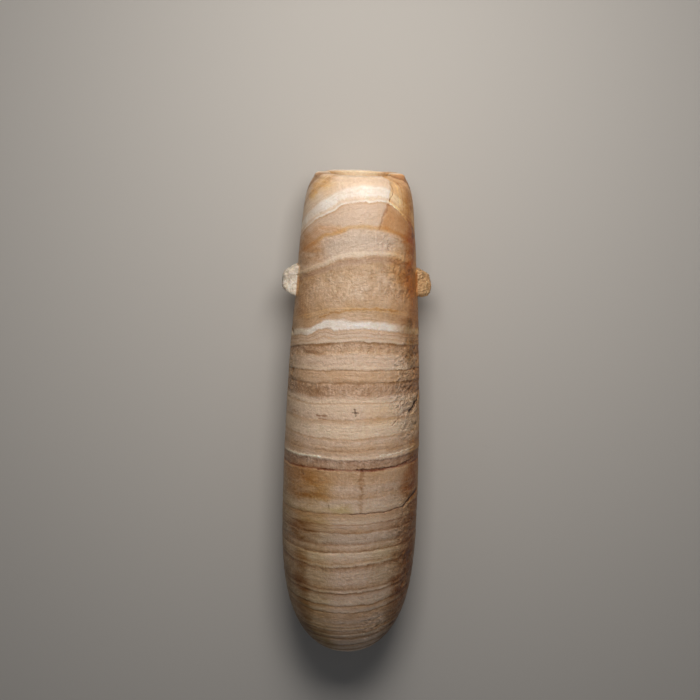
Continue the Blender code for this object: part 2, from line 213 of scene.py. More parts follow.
# Lines: cracks, splits and seams, and painted highlights: the near-white lines that stand proud are painted
# highlights along raised edges and lips. (depth in mm, width in mm, what colour it makes a pale layer,
# strength, the points that it runs through). A depth below 0 stands proud.
CRACKS_AND_EDGE_HIGHLIGHTS = (
    (0.2, 0.9, "#b58a62", 0.45, ((43, 199.5), (41, 197), (41.5, 194), (37, 192), (34, 190.5))),
    (0.05, 1.4, "#a87448", 0.45, ((33, 190), (30, 187.5), (25, 185), (23, 182), (21, 180.3))),
    (0.1, 0.9, "#a98868", 0.4, ((31, 174.5), (32, 171.5))),
    (0.2, 0.6, "#8a5a36", 0.6, ((0, 66.2), (18, 66.6), (35, 66.9), (51, 68))),
    (0.7, 2.3, "#4a2818", 1.0, ((59, 106.2), (66, 107.4), (72, 108.7), (78, 110.6), (86, 112.4))),
    (0.2, 0.7, "#9a7048", 0.6, ((86, 112.4), (93, 113.4), (99, 113.8))),
    (0.6, 1.2, "#6e421c", 0.95, ((52, 67.8), (57, 69), (63, 70.2), (70, 71.1), (80, 72), (88, 73.6))),
    (0.2, 0.7, "#8a6238", 0.6, ((88, 73.6), (97, 74), (104, 75.4))),
    # The next two are painted highlights on the lips below two splits.
    (-0.1, 1.0, "#fff0d8", 0.6, ((60, 104.9), (74, 106))),
    (-0.1, 0.8, "#fff0d8", 0.5, ((54, 66.9), (64, 69))),
    (0.2, 1.2, "#6a4c38", 0.7, ((1.5, 109), (2.2, 106.6))),
    (0.1, 0.9, "#7a5c48", 0.6, ((-0.5, 107.9), (4, 107.7))),
    (0.8, 1.6, SOOT, 0.8, ((-82, 136.2), (-76, 135.4))),
    (0.0, 1.5, "#c8964e", 0.6, ((-34, 144.5), (-20, 147.0), (0, 148.6), (20, 148.8), (42, 147.6))),
    (0.0, 0.8, "#8a6848", 0.5, ((-17, 70.2), (-17, 68))),
    (0.15, 0.8, "#9a6a48", 0.5, ((36, 102), (40, 103.8), (45, 104.6))),
    (0.15, 0.8, "#9a6a48", 0.5, ((46, 109.4), (53, 111))),
    (0.05, 1.0, "#9c6238", 0.7, ((-31, 105.5), (-21, 105.8))),
    (0.05, 0.9, "#9c6238", 0.7, ((-29, 104.4), (-22, 104.2))),
    (0.05, 1.1, "#a0683e", 0.6, ((-63, 105.2), (-57, 105))),
    (0.0, 3.2, "#b08458", 0.6, ((9, 84), (8, 81), (9.5, 77))),
    (0.0, 2.6, "#b89068", 0.5, ((9.5, 77), (9, 72), (10, 67.5))),
    (0.2, 1.2, "#96582e", 0.7, ((-28, 83.6), (-14, 84.1))),
    (0.3, 1.3, "#9c5626", 0.75, ((6, 84.4), (40, 85), (72, 87))),
    (0.1, 1.2, "#96683e", 0.5, ((-46, 82), (-44, 80.2))),
    # The next two are painted highlights along the raised edge of a layer.
    (-0.1, 1.3, "#fff4e2", 0.8, ((-80, 87.4), (-50, 88.3), (-28, 88.9))),
    (-0.1, 1.1, "#fff4e2", 0.7, ((24, 90), (45, 90.5), (70, 91.5))),
    # A painted highlight along the lower edge of a flake.
    (-0.1, 1.6, "#fff0d4", 0.8, ((33, 190.4), (47, 186.8), (60, 182.4))),
    (0.0, 2.0, "#f8dcb4", 0.6, ((50, 199), (49, 189))),
    (0.1, 1.2, "#cf9c5e", 0.6, ((57, 198), (55, 187))),
)

# Flakes lost: (depth in mm, how soft its edges look in mm, what colour it makes a pale layer, strength, its
# edges). An edge runs with the flake on its right.
FLAKES = (
    (0.35, 0.5, "#eebf8c", 0.8,
     (((33, 190.5), (42, 200)), ((60, 182), (33, 190.5)), ((95, 200), (95, 182)))),
    (0.08, 1.6, "#cf9a62", 0.75,
     (((21, 180.3), (32, 190.2)), ((32, 190.2), (60, 181.7)), ((60, 174), (21, 180.3)))),
    (0.35, 1.5, "#a88468", 0.3,
     (((-66, 126), (-66, 137)), ((-66, 137), (-130, 135)), ((-130, 124), (-66, 126)))),
)
SHARP = 0.35            # mm, how soft a flake's edges are in the relief
SPLIT_DEPTH = 0.5       # mm, from which a crack is a split that is cut in the mesh
SPLIT_WIDENING = 0.8    # mm, how much wider a split is in the mesh, which is coarser

# Chips lost from the rim: (around, half its width in degrees, depth in mm).
RIM_CHIPS = ((62, 26, 1.8), (-20, 9, 0.3), (152, 12, 0.3), (-120, 12, 0.3))

# Where the surface has gone granular: (around, height, half its width in degrees, half its height, how much).
GRANULAR = (
    (62, 116, 26, 25, 1.0), (50, 160, 32, 12, 0.5), (30, 174, 16, 4, 0.4), (60, 50, 24, 30, 0.6),
    (-75, 118, 12, 12, 0.8), (40, 18, 30, 10, 0.5), (150, 150, 40, 20, 0.6), (-120, 90, 30, 14, 0.5),
)


def body_radius(height):
    """Radius of the body's surface at a height above the tip of the base."""
    radius = BELLY_RADIUS
    if height < BASE_HEIGHT:
        below = (BASE_HEIGHT - height) / BASE_HEIGHT
        return BELLY_RADIUS * max(0.0, 1 - below ** BASE_FULLNESS) ** TIP_BLUNTNESS
    if height > TAPER_START:
        rise = (height - TAPER_START) / (LENGTH - TAPER_START)
        radius -= TAPER_AT_LIP * rise ** TAPER_POWER
    if height > SHOULDER_START:
        rise = (height - SHOULDER_START) / (LENGTH - SHOULDER_START)
        radius -= SHOULDER_AT_LIP * rise ** SHOULDER_POWER
    return radius


def cavity_radius(height):
    """Radius of the bored hollow at a height above the tip of the base."""
    if height < CAVITY_WIDEST:
        below = (CAVITY_WIDEST - height) / (CAVITY_WIDEST - CAVITY_FLOOR)
        return CAVITY_RADIUS * max(0.0, 1 - below ** CAVITY_ROUNDNESS) ** (1 / CAVITY_ROUNDNESS)
    rise = (height - CAVITY_WIDEST) / (LENGTH - CAVITY_WIDEST)
    return CAVITY_RADIUS - (CAVITY_RADIUS - MOUTH_RADIUS) * rise ** MOUTH_NARROWING_POWER


def stepped(curve, bottom, top, step):
    """Points (radius, height) along a curve, evenly apart, from its bottom up to just below its top."""
    fine = 4000
    heights = [bottom + (top - bottom) * (1 - cos(pi / 2 * i / fine)) for i in range(fine + 1)]
    points = [(curve(height), height) for height in heights]
    lengths = [0.0]
    for here, there in zip(points, points[1:]):
        lengths.append(lengths[-1] + hypot(there[0] - here[0], there[1] - here[1]))
    count = round(lengths[-1] / step)
    spaced = []
    for point, length in zip(points, lengths):
        if length >= len(spaced) * lengths[-1] / count and len(spaced) < count:
            spaced.append(point)
    return spaced


def flask_profile():
    """The outline of the wall: up the outside, over the worn lip and down the inside."""
    lip_start = LENGTH - LIP_ROUNDING
    mouth_start = LENGTH - MOUTH_ROUNDING
    lip_radius = body_radius(lip_start)
    mouth_radius = cavity_radius(mouth_start)
    profile = stepped(body_radius, 0, lip_start, OUTSIDE_STEP)
    rounding_steps = 5
    for step in range(rounding_steps + 1):
        turn = pi / 2 * step / rounding_steps
        profile.append((lip_radius - LIP_ROUNDING * (1 - cos(turn)), lip_start + LIP_ROUNDING * sin(turn)))
    flat_end = mouth_radius + MOUTH_ROUNDING
    flat_start = profile[-1][0]
    flat_steps = round((flat_start - flat_end) / OUTSIDE_STEP)
    for step in range(1, flat_steps):
        profile.append((flat_start + (flat_end - flat_start) * step / flat_steps, LENGTH))
    for step in range(rounding_steps + 1):
        turn = pi / 2 * step / rounding_steps
        radius = mouth_radius + MOUTH_ROUNDING * (1 - sin(turn))
        profile.append((radius, mouth_start + MOUTH_ROUNDING * cos(turn)))
    profile += reversed(stepped(cavity_radius, CAVITY_FLOOR, mouth_start, INSIDE_STEP))
    return profile


def walk(points, name):
    """A line of edges through the points, drawn by extruding one vertex from the next."""
    bpy.ops.object.select_all(action="DESELECT")
    bpy.ops.mesh.primitive_circle_add(vertices=3, radius=MM)
    bpy.context.object.name = name
    bpy.ops.object.mode_set(mode="EDIT")
    bpy.ops.mesh.select_all(action="SELECT")
    bpy.ops.mesh.merge(type="CENTER")
    bpy.ops.transform.translate(value=points[0])
    for here, there in zip(points, points[1:]):
        step = [b - a for a, b in zip(here, there)]
        bpy.ops.mesh.extrude_region_move(TRANSFORM_OT_translate={"value": step})
    return bpy.context.object


def apply_modifiers(piece):
    bpy.context.view_layer.objects.active = piece
    for modifier in list(piece.modifiers):
        bpy.ops.object.modifier_apply(modifier=modifier.name)


def lay_down(piece):
    """Lays an upright piece on its back, with its place kept in its mesh."""
    bpy.ops.object.select_all(action="DESELECT")
    piece.select_set(True)
    bpy.context.view_layer.objects.active = piece
    piece.rotation_euler = (-pi / 2, 0, 0)
    piece.location = BASE_TIP
    bpy.ops.object.transform_apply(location=True, rotation=True, scale=True)


def turned_flask():
    """The body as it was turned and bored, before the lugs are joined."""
    flask = walk([(radius, 0, height) for radius, height in flask_profile()], "flask")
    bpy.ops.mesh.select_all(action="SELECT")
    bpy.ops.mesh.spin(steps=SIDES, angle=2 * pi, center=(0, 0, 0), axis=(0, 0, 1))
    bpy.ops.mesh.select_all(action="SELECT")
    bpy.ops.mesh.remove_doubles(threshold=0.001 * MM)
    bpy.ops.mesh.normals_make_consistent(inside=False)
    bpy.ops.object.mode_set(mode="OBJECT")
    return flask


def lug(side, bottom, length, turn, outline):
    """One unpierced lug, worn soft at its edges, with its root sunk in the wall."""
    root = body_radius(bottom + length / 2)
    outline = [(reach * LUG_REACH, along * length) for reach, along in outline]
    outline = [(-LUG_ROOT_DEPTH, 0.0)] + outline + [(-LUG_ROOT_DEPTH, length)]
    half = LUG_ROOT_THICKNESS / 2
    piece = walk([(root + reach, -half, bottom + along) for reach, along in outline], "lug")
    bpy.ops.mesh.select_all(action="SELECT")
    bpy.ops.mesh.edge_face_add()
    bpy.ops.mesh.extrude_region_move(TRANSFORM_OT_translate={"value": (0, 2 * half, 0)})
    bpy.ops.mesh.select_all(action="SELECT")
    bpy.ops.mesh.normals_make_consistent(inside=False)
    bpy.ops.object.mode_set(mode="OBJECT")
    slimming = LUG_TIP_THICKNESS / LUG_ROOT_THICKNESS
    for vertex in piece.data.vertices:
        share = min(1.0, max(0.0, (vertex.co.x - root) / LUG_REACH))
        vertex.co.y *= 1 + (slimming - 1) * share
    if side < 0:
        piece.scale.x = -1
    bpy.ops.object.transform_apply(location=False, rotation=False, scale=True)
    piece.rotation_euler.z = -side * turn
    bpy.ops.object.transform_apply(location=False, rotation=True, scale=False)
    bpy.ops.object.mode_set(mode="EDIT")
    bpy.ops.mesh.select_all(action="SELECT")
    bpy.ops.mesh.normals_make_consistent(inside=False)
    bpy.ops.object.mode_set(mode="OBJECT")
    edges = piece.modifiers.new("edges", "BEVEL")
    edges.width = LUG_EDGE
    edges.segments = 3
    edges.limit_method = "ANGLE"
    edges.angle_limit = radians(60)
    remesh = piece.modifiers.new("grain", "REMESH")
    remesh.mode = "VOXEL"
    remesh.voxel_size = LUG_GRAIN
    wear = piece.modifiers.new("wear", "SMOOTH")
    wear.factor = 0.5
    wear.iterations = 6
    apply_modifiers(piece)
    return piece


def join_lug(flask, piece):
    """Joins a lug to the flask, as one stone, and merges the slivers that this leaves along the join."""
    union = flask.modifiers.new("union", "BOOLEAN")
    union.object = piece
    union.operation = "UNION"
    union.solver = "EXACT"
    apply_modifiers(flask)
    bpy.data.objects.remove(piece)
    bpy.ops.object.select_all(action="DESELECT")
    flask.select_set(True)
    bpy.ops.object.mode_set(mode="EDIT")
    bpy.ops.mesh.select_all(action="DESELECT")
    bpy.ops.object.mode_set(mode="OBJECT")
    for vertex in flask.data.vertices:
        beside = abs(vertex.co.x) > CAVITY_RADIUS
        vertex.select = beside and LUG_SPAN[0] < vertex.co.z < LUG_SPAN[1]
    bpy.ops.object.mode_set(mode="EDIT")
    bpy.ops.mesh.remove_doubles(threshold=SLIVER)
    bpy.ops.object.mode_set(mode="OBJECT")


# Nodes. The weathering (geometry nodes) and the stone (a shader) share what describes the layers and damage.
# A RANGE maps input 0 from inputs 1 to 2 on to inputs 3 to 4. A MIX goes by input 0 from input 2 to 3 for
# plain values, 4 to 5 for vectors and 6 to 7 for colours.

MATH = "ShaderNodeMath"
VECTOR = "ShaderNodeVectorMath"
NOISE = "ShaderNodeTexNoise"
RANGE = "ShaderNodeMapRange"
MIX = "ShaderNodeMix"
SPLIT = "ShaderNodeSeparateXYZ"
UNITE = "ShaderNodeCombineXYZ"
SMOOTH = {"interpolation_type": "SMOOTHSTEP", "clamp": False}       # for a RANGE that eases in and out


def add(tree, kind, inputs=None, output=0, **settings):
    """Adds a node with its settings and its inputs, each a value or a socket, and returns an output."""
    node = tree.nodes.new(kind)
    for name, value in settings.items():
        setattr(node, name, value)
    for name, value in (inputs or {}).items():
        if isinstance(value, bpy.types.NodeSocket):
            tree.links.new(value, node.inputs[name])
        else:
            node.inputs[name].default_value = value
    return node.outputs[output]


def linear(colour):
    """The linear RGBA value of an sRGB hex colour."""
    channels = [int(colour[i:i + 2], 16) / 255 for i in (1, 3, 5)]
    return [c / 12.92 if c <= 0.04045 else ((c + 0.055) / 1.055) ** 2.4 for c in channels] + [1.0]


def unrolled(around, height):
    """A point (degrees, mm) of the surface, unrolled to mm round the belly and mm up."""
    return Vector((radians(around) * BELLY_RADIUS / MM, height, 0))


def flask_space(tree, position):
    """A position in metres, turned to flask space."""
    offset = [-x / MM for x in BASE_TIP]
    return add(tree, VECTOR, {0: position, 1: (1 / MM,) * 3, 2: offset}, operation="MULTIPLY_ADD")


def distance_from_axis(tree, place):
    """How far a place is from the flask's axis, in mm."""
    across = add(tree, VECTOR, {0: place, 1: (1, 0, 1)}, operation="MULTIPLY")
    return add(tree, VECTOR, {0: across}, output=1, operation="LENGTH")


def surface_spot(tree, place, size, straying):
    """Where a place is on the unrolled surface, straying by some mm over spans of a size in mm."""
    x, height, z = add(tree, SPLIT, {0: place}).node.outputs
    around = add(tree, MATH, {0: x, 1: z}, operation="ARCTAN2")
    around = add(tree, MATH, {0: around, 1: BELLY_RADIUS / MM}, operation="MULTIPLY")
    spot = add(tree, UNITE, {0: around, 1: height})
    stray = add(tree, NOISE, {"Vector": place, "Scale": 1 / size, "Detail": 3.0, "Roughness": 0.6},
                output=1)
    stray = add(tree, VECTOR, {0: stray, 1: (0.5, 0.5, 0.5)}, operation="SUBTRACT")
    return add(tree, VECTOR, {0: stray, 1: straying, 2: spot}, operation="MULTIPLY_ADD")


def patch(tree, spot, around, height, half_width, half_height):
    """How far a spot is in a soft-edged oval patch, from 0 to 1."""
    scale = Vector((1 / unrolled(half_width, 0).x, 1 / half_height, 0))
    centre = -unrolled(around, height) * scale
    away = add(tree, VECTOR, {0: spot, 1: scale, 2: centre}, operation="MULTIPLY_ADD")
    away = add(tree, VECTOR, {0: away}, output=1, operation="LENGTH")
    return add(tree, RANGE, {0: away, 1: 1.35, 2: 0.4, 3: 0.0, 4: 1.0}, **SMOOTH)


def line(tree, spot, fray, width, points):
    """How near a spot is to a frayed line through the points, from 0 beyond its width to 1."""
    points = [unrolled(*point) for point in points]
    nearest = None
    for start, end in zip(points, points[1:]):
        run = end - start
        offset = add(tree, VECTOR, {0: spot, 1: start}, operation="SUBTRACT")
        share = add(tree, VECTOR, {0: offset, 1: run / run.length_squared}, output=1, operation="DOT_PRODUCT")
        share = add(tree, MATH, {0: share, 1: 0.0}, operation="MAXIMUM")
        share = add(tree, MATH, {0: share, 1: 1.0}, operation="MINIMUM")
        foot = add(tree, VECTOR, {0: run, "Scale": share}, operation="SCALE")
        gap = add(tree, VECTOR, {0: offset, 1: foot}, output=1, operation="DISTANCE")
        nearest = gap if nearest is None else add(tree, MATH, {0: nearest, 1: gap}, operation="MINIMUM")
    nearest = add(tree, MATH, {0: fray, 1: width / 4, 2: nearest}, operation="MULTIPLY_ADD")
    return add(tree, RANGE, {0: nearest, 1: width / 2, 2: width / 12, 3: 0.0, 4: 1.0}, **SMOOTH)


def flake(tree, spot, edges, softness):
    """How far a spot is inside all of a flake's edges, from 0 to 1, over a softness in mm."""
    inside = None
    for start, end in edges:
        start, end = unrolled(*start), unrolled(*end)
        run = (end - start).normalized()
        inward = Vector((run.y, -run.x, 0))
        reach = add(tree, VECTOR, {0: spot, 1: inward}, output=1, operation="DOT_PRODUCT")
        reach = add(tree, MATH, {0: reach, 1: start.dot(inward)}, operation="SUBTRACT")
        inside = reach if inside is None else add(tree, MATH, {0: inside, 1: reach}, operation="MINIMUM")
    return add(tree, RANGE, {0: inside, 1: -softness, 2: softness, 3: 0.0, 4: 1.0}, **SMOOTH)


def outside(tree, place):
    """1 on the flask's outside and outer lip, and 0 on its mouth's edge and in its hollow."""
    height = add(tree, SPLIT, {0: place}, output=1)
    within_wall = add(tree, RANGE, {0: height, 1: 100.0, 2: LENGTH / MM, 3: 22.0, 4: 12.9})
    from_middle = add(tree, MATH, {0: distance_from_axis(tree, place), 1: within_wall}, operation="SUBTRACT")
    outer = add(tree, RANGE, {0: from_middle, 1: -0.8, 2: 0.8, 3: 0.0, 4: 1.0}, **SMOOTH)
    solid_base = add(tree, MATH, {0: height, 1: CAVITY_FLOOR / MM - 0.5}, operation="LESS_THAN")
    return add(tree, MATH, {0: outer, 1: solid_base}, operation="MAXIMUM")


def on_lugs(tree, place):
    """1 where a place stands out from the body on a lug, and 0 elsewhere."""
    height = add(tree, SPLIT, {0: place}, output=1)
    lowest, highest = LUG_SPAN
    away = add(tree, MATH, {0: height, 1: (lowest + highest) / 2 / MM}, operation="SUBTRACT")
    away = add(tree, MATH, {0: away}, operation="ABSOLUTE")
    half_span = (highest - lowest) / 2 / MM
    level = add(tree, RANGE, {0: away, 1: half_span + 0.5, 2: half_span - 1.5, 3: 0.0, 4: 1.0})
    low, high = 148, 165
    surface = add(tree, RANGE, {0: height, 1: low, 2: high, 3: body_radius(low * MM) / MM,
                                4: body_radius(high * MM) / MM})
    out = add(tree, MATH, {0: distance_from_axis(tree, place), 1: surface}, operation="SUBTRACT")
    out = add(tree, RANGE, {0: out, 1: 0.1, 2: 0.5, 3: 0.0, 4: 1.0}, **SMOOTH)
    return add(tree, MATH, {0: level, 1: out}, operation="MULTIPLY")


def granularity(tree, spot):
    """How granular the surface has gone, from 0 to 1."""
    total = None
    for *where, strength in GRANULAR:
        share = add(tree, MATH, {0: patch(tree, spot, *where), 1: strength}, operation="MULTIPLY")
        total = share if total is None else add(tree, MATH, {0: total, 1: share}, operation="MAXIMUM")
    return total


def layer_height(tree, place, spot):
    """Which layer a place is in, as the height in mm at which that layer crosses the middle of the face.

    Above the middle of the flask the layers dip away from the face, more and more towards the mouth; below it
    they rise away from it towards the base. All lean a little up to the right, ripple, and bulge here and
    there.
    """
    ripple = add(tree, NOISE, {"Vector": place, "Scale": 1 / 26, "Detail": 2.0, "Roughness": 0.5})
    crinkle = add(tree, NOISE, {"Vector": place, "Scale": 1 / 5, "Detail": 2.0, "Roughness": 0.55})
    x, height, z = add(tree, SPLIT, {0: place}).node.outputs
    from_middle = add(tree, MATH, {0: height, 1: 1 / 90, 2: -100 / 90}, operation="MULTIPLY_ADD")
    above = add(tree, MATH, {0: from_middle, 1: 0.0}, operation="MAXIMUM")
    below = add(tree, MATH, {0: from_middle, 1: 0.0}, operation="MINIMUM")
    below = add(tree, MATH, {0: below, 1: 3.0}, operation="POWER")
    across = add(tree, VECTOR, {0: place, 1: (1, 0, 1)}, operation="MULTIPLY")
    across = add(tree, VECTOR, {0: across}, operation="NORMALIZE")
    facing = add(tree, SPLIT, {0: across}, output=2)
    turned_away = add(tree, MATH, {0: 1.0, 1: facing}, operation="SUBTRACT")
    dip = add(tree, MATH, {0: above, 1: turned_away}, operation="MULTIPLY")
    height = add(tree, MATH, {0: dip, 1: 18.0, 2: height}, operation="MULTIPLY_ADD")
    depth = add(tree, MATH, {0: z, 1: -MM / BELLY_RADIUS, 2: 1.0}, operation="MULTIPLY_ADD")
    rise = add(tree, MATH, {0: below, 1: depth}, operation="MULTIPLY")
    height = add(tree, MATH, {0: rise, 1: 11.0, 2: height}, operation="MULTIPLY_ADD")
    lean = add(tree, MATH, {0: from_middle, 1: from_middle}, operation="MULTIPLY")
    lean = add(tree, MATH, {0: lean, 1: -2.2, 2: -1.0}, operation="MULTIPLY_ADD")
    lean = add(tree, MATH, {0: lean, 1: x}, operation="MULTIPLY")
    height = add(tree, MATH, {0: lean, 1: MM / BELLY_RADIUS, 2: height}, operation="MULTIPLY_ADD")
    for *where, up in BULGES:
        height = add(tree, MATH, {0: patch(tree, spot, *where), 1: -up, 2: height}, operation="MULTIPLY_ADD")
    ripple = add(tree, MATH, {0: ripple, 1: 0.5}, operation="SUBTRACT")
    height = add(tree, MATH, {0: ripple, 1: 3.0, 2: height}, operation="MULTIPLY_ADD")
    crinkle = add(tree, MATH, {0: crinkle, 1: 0.5}, operation="SUBTRACT")
    return add(tree, MATH, {0: crinkle, 1: 1.1, 2: height}, operation="MULTIPLY_ADD")


def layers(tree, height, quality):
    """What the layer at a height is like: an RGB value and a plain value, from colour ramps end to end.

    The quality is a function that turns a layer of the table to RGBA.
    """
    colour, amount = None, None
    for first in range(0, len(STRATA) - 1, RAMP_STOPS - 1):
        section = STRATA[first:first + RAMP_STOPS]
        low, high = section[0][0], section[-1][0]
        share = add(tree, RANGE, {0: height, 1: low, 2: high, 3: 0.0, 4: 1.0})
        node = add(tree, "ShaderNodeValToRGB", {0: share}).node
        stops = node.color_ramp.elements
        while len(stops) < len(section):
            stops.new(0.5)
        for stop, layer in zip(stops, section):
            stop.position = (layer[0] - low) / (high - low)
            stop.color = quality(layer)
        if colour is None:
            colour, amount = node.outputs
            continue
        higher = add(tree, MATH, {0: height, 1: low}, operation="GREATER_THAN")
        colour = add(tree, MIX, {0: higher, 6: colour, 7: node.outputs[0]}, output=2, data_type="RGBA")
        amount = add(tree, MIX, {0: higher, 2: amount, 3: node.outputs[1]}, data_type="FLOAT")
    return colour, amount


def weather(flask):
    """Wears the flask in relief: each layer to its own depth, with pits, flakes and splits. It only takes
    away, by distances in mm, and spares the flat spot on which the flask rests.
    """
    tree = bpy.data.node_groups.new("weathering", "GeometryNodeTree")
    tree.interface.new_socket("Geometry", in_out="INPUT", socket_type="NodeSocketGeometry")
    tree.interface.new_socket("Geometry", in_out="OUTPUT", socket_type="NodeSocketGeometry")
    unworn = add(tree, "NodeGroupInput")
    position = add(tree, "GeometryNodeInputPosition")
    place = flask_space(tree, position)
    spot = surface_spot(tree, place, 3.5, (1.2, 1.0, 0))
    height = layer_height(tree, place, spot)
    outer = outside(tree, place)
    lugs = add(tree, MATH, {0: on_lugs(tree, place), 1: 0.6}, operation="MULTIPLY")
    granular = add(tree, MATH, {0: granularity(tree, spot), 1: lugs}, operation="MAXIMUM")

    # The layers: what each has worn, unevenly, and a slow swell in the hand-made form.
    worn = layers(tree, height, lambda layer: [(layer[3] + WORN_RANGE) / (2 * WORN_RANGE)] * 3 + [1.0])[0]
    worn = add(tree, SPLIT, {0: worn})
    worn = add(tree, RANGE, {0: worn, 1: 0.0, 2: 1.0, 3: -WORN_RANGE, 4: WORN_RANGE})
    uneven = add(tree, NOISE, {"Vector": place, "Scale": 1 / 9, "Detail": 3.0, "Roughness": 0.6})
    uneven = add(tree, RANGE, {0: uneven, 1: 0.3, 2: 0.7, 3: 0.25, 4: 1.35})
    worn = add(tree, MATH, {0: worn, 1: uneven}, operation="MULTIPLY")

    swell = add(tree, NOISE, {"Vector": place, "Scale": 1 / 38, "Detail": 1.0})
    swell = add(tree, RANGE, {0: swell, 1: 0.25, 2: 0.75, 3: 0.0, 4: 0.5})
    taken = add(tree, MATH, {0: worn, 1: swell}, operation="ADD")

    # Roughness everywhere and pits 2 to 3 mm across, both deepest where the surface is granular.
    rough = add(tree, NOISE, {"Vector": place, "Scale": 1 / 4.5, "Detail": 4.0, "Roughness": 0.65})
    rough = add(tree, RANGE, {0: rough, 1: 0.3, 2: 0.7, 3: 0.0, 4: 1.0})
    amount = add(tree, RANGE, {0: granular, 1: 0.0, 2: 1.0, 3: 0.12, 4: 0.65})
    taken = add(tree, MATH, {0: rough, 1: amount, 2: taken}, operation="MULTIPLY_ADD")

    pits = add(tree, NOISE, {"Vector": place, "Scale": 1 / 2.4, "Detail": 2.0, "Roughness": 0.5})
    pits = add(tree, RANGE, {0: pits, 1: 0.58, 2: 0.72, 3: 0.0, 4: 1.0}, **SMOOTH)
    amount = add(tree, RANGE, {0: granular, 1: 0.0, 2: 1.0, 3: 0.05, 4: 0.85})
    pits = add(tree, MATH, {0: pits, 1: amount}, operation="MULTIPLY")

    # What has flaked off or split.
    for depth, softness, colour, strength, edges in FLAKES:
        lost = flake(tree, spot, edges, SHARP)
        pits = add(tree, MATH, {0: lost, 1: depth, 2: pits}, operation="MULTIPLY_ADD")
    for depth, width, colour, strength, points in CRACKS_AND_EDGE_HIGHLIGHTS:
        if depth >= SPLIT_DEPTH:
            split = line(tree, spot, 0.0, width + SPLIT_WIDENING, points)
            pits = add(tree, MATH, {0: split, 1: depth, 2: pits}, operation="MULTIPLY_ADD")
    pits = add(tree, MATH, {0: pits, 1: outer}, operation="MULTIPLY")

    # The layers have worn least at the shoulder.
    spared = add(tree, SPLIT, {0: place}, output=1)
    spared = add(tree, RANGE, {0: spared, 1: 160.0, 2: 184.0, 3: 1.0, 4: 0.15})
    taken = add(tree, MATH, {0: taken, 1: spared, 2: pits}, operation="MULTIPLY_ADD")
    taken = add(tree, MATH, {0: taken, 1: 0.0}, operation="MAXIMUM")
    clear_of_floor = add(tree, SPLIT, {0: position}, output=2)
    clear_of_floor = add(tree, RANGE, {0: clear_of_floor, 1: 0.8 * MM, 2: 2.2 * MM, 3: 0.0, 4: -MM})
    taken = add(tree, MATH, {0: taken, 1: clear_of_floor}, operation="MULTIPLY")
    normal = add(tree, "GeometryNodeInputNormal")
    shift = add(tree, VECTOR, {0: normal, "Scale": taken}, operation="SCALE")
    down = add(tree, MATH, {0: rim_loss(tree, place, spot), 1: -MM}, operation="MULTIPLY")
    down = add(tree, UNITE, {1: down})
    shift = add(tree, VECTOR, {0: shift, 1: down}, operation="ADD")
    # The depth of the pits, flakes and splits is kept, for the painted shade and the dirt in them.
    noted = {"Geometry": unworn, "Name": "pitted", "Value": pits}
    noted = add(tree, "GeometryNodeStoreNamedAttribute", noted, data_type="FLOAT", domain="POINT")
    worn_flask = add(tree, "GeometryNodeSetPosition", {"Geometry": noted, "Offset": shift})
    tree.links.new(worn_flask, tree.nodes.new("NodeGroupOutput").inputs[0])
    weathering = flask.modifiers.new("weathering", "NODES")
    weathering.node_group = tree
    apply_modifiers(flask)


def rim_loss(tree, place, spot):
    """How much is lost from the rim, in mm down from the mouth, deepest at the outside of the lip."""
    height = add(tree, SPLIT, {0: place}, output=1)
    near_rim = add(tree, RANGE, {0: height, 1: 196.0, 2: LENGTH / MM - 0.6, 3: 0.0, 4: 1.0})
    outer = add(tree, RANGE, {0: distance_from_axis(tree, place), 1: 13.0, 2: 16.5, 3: 0.2, 4: 1.0})
    chipped = None
    for around, half_width, depth in RIM_CHIPS:
        chip = patch(tree, spot, around, LENGTH / MM, half_width, 12)
        chip = add(tree, MATH, {0: chip, 1: depth}, operation="MULTIPLY")
        chipped = chip if chipped is None else add(tree, MATH, {0: chipped, 1: chip}, operation="MAXIMUM")
    chipped = add(tree, MATH, {0: chipped, 1: near_rim}, operation="MULTIPLY")
    return add(tree, MATH, {0: chipped, 1: outer}, operation="MULTIPLY")


def grind_flat(flask):
    """Grinds the flat spot on which the flask rests."""
    bpy.ops.object.mode_set(mode="EDIT")
    bpy.ops.mesh.select_all(action="SELECT")
    bpy.ops.mesh.bisect(plane_co=(0, 0, 0), plane_no=(0, 0, 1), use_fill=True, clear_inner=True,
                        threshold=1e-7)
    bpy.ops.object.mode_set(mode="OBJECT")


def over_pale(colour):
    """What a pale layer is multiplied by to give a colour."""
    return [stained / pale for stained, pale in zip(linear(colour)[:3], linear(PALE))]


def tinted(tree, colour, amount, tint_colour):
    """A colour multiplied by what a tint colour makes of a pale layer, by some amount. It gives the stains
    and dirt, and the painted shade and the painted highlights.
    """
    full = add(tree, VECTOR, {0: colour, 1: over_pale(tint_colour)}, operation="MULTIPLY")
    return add(tree, MIX, {0: amount, 4: colour, 5: full}, output=1, data_type="VECTOR")


